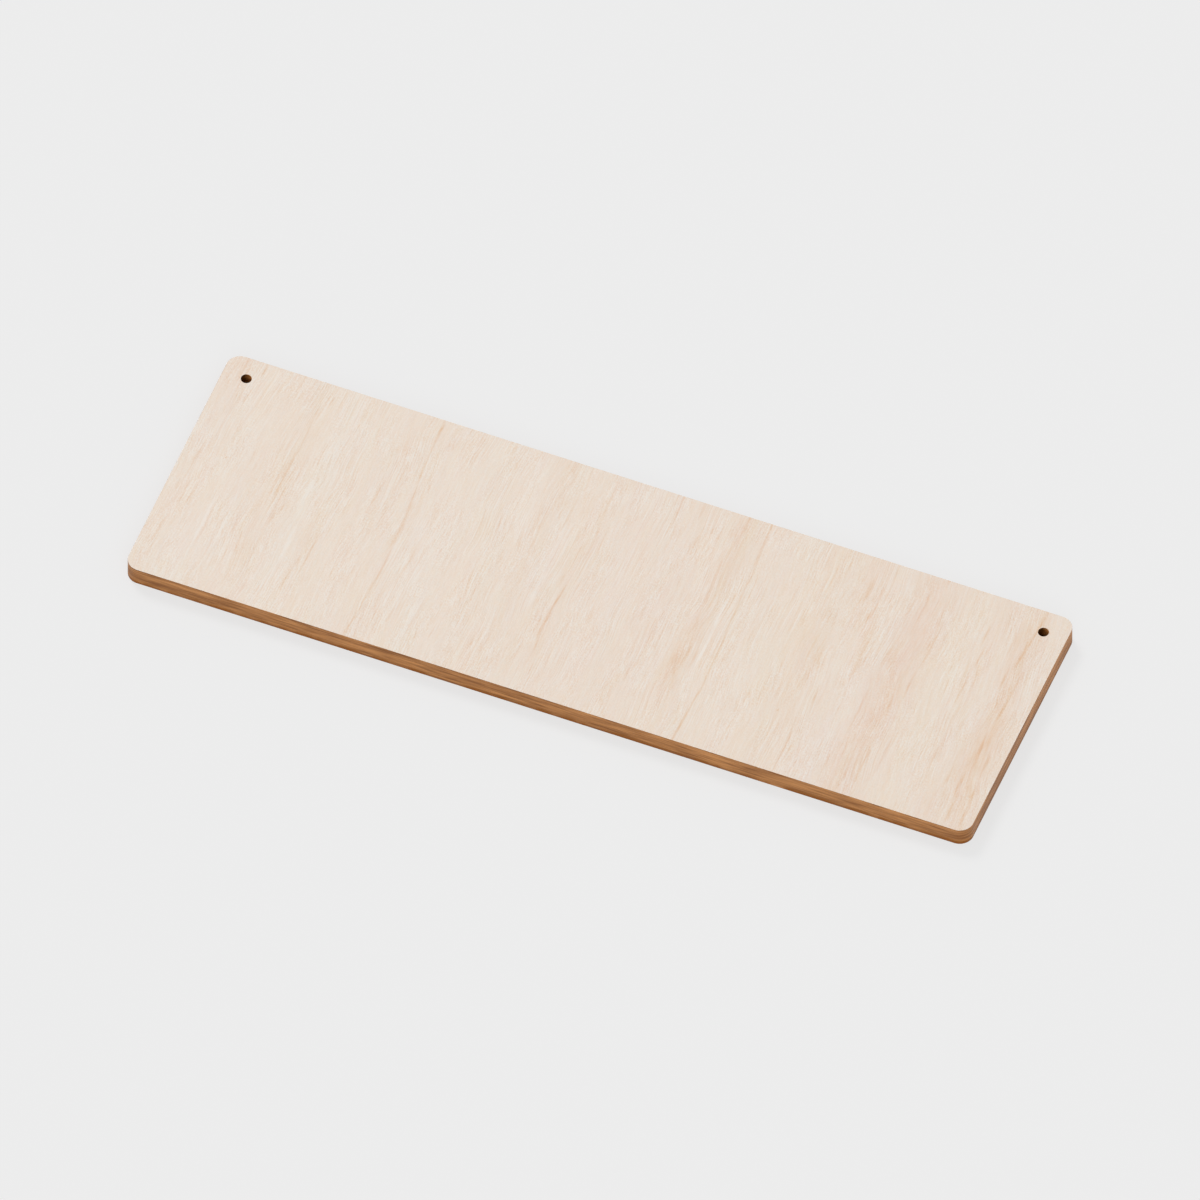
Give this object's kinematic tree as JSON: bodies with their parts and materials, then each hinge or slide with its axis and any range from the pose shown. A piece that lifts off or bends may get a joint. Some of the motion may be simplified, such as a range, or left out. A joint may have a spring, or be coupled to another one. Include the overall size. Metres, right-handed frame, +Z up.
{
  "type": "plywood sheet",
  "caption": "Small flat oblong plywood blank with rounded corners, pale wood face, brown cut edge and a fixing hole near each end of one long side.",
  "frame": {"origin": "middle of the underside, at the centre of the sheet's outline", "axes": "+X along the long side, +Y across the sheet towards the long edge that has the holes, +Z up out of the top face"},
  "size_m": [0.25, 0.08, 0.006],
  "materials": {
    "plywood": "sanded bare veneer, matt, with browned cut edges"
  },
  "bodies": {
    "root": {"plywood_sheet": "plywood"}
  },
  "joints": []
}
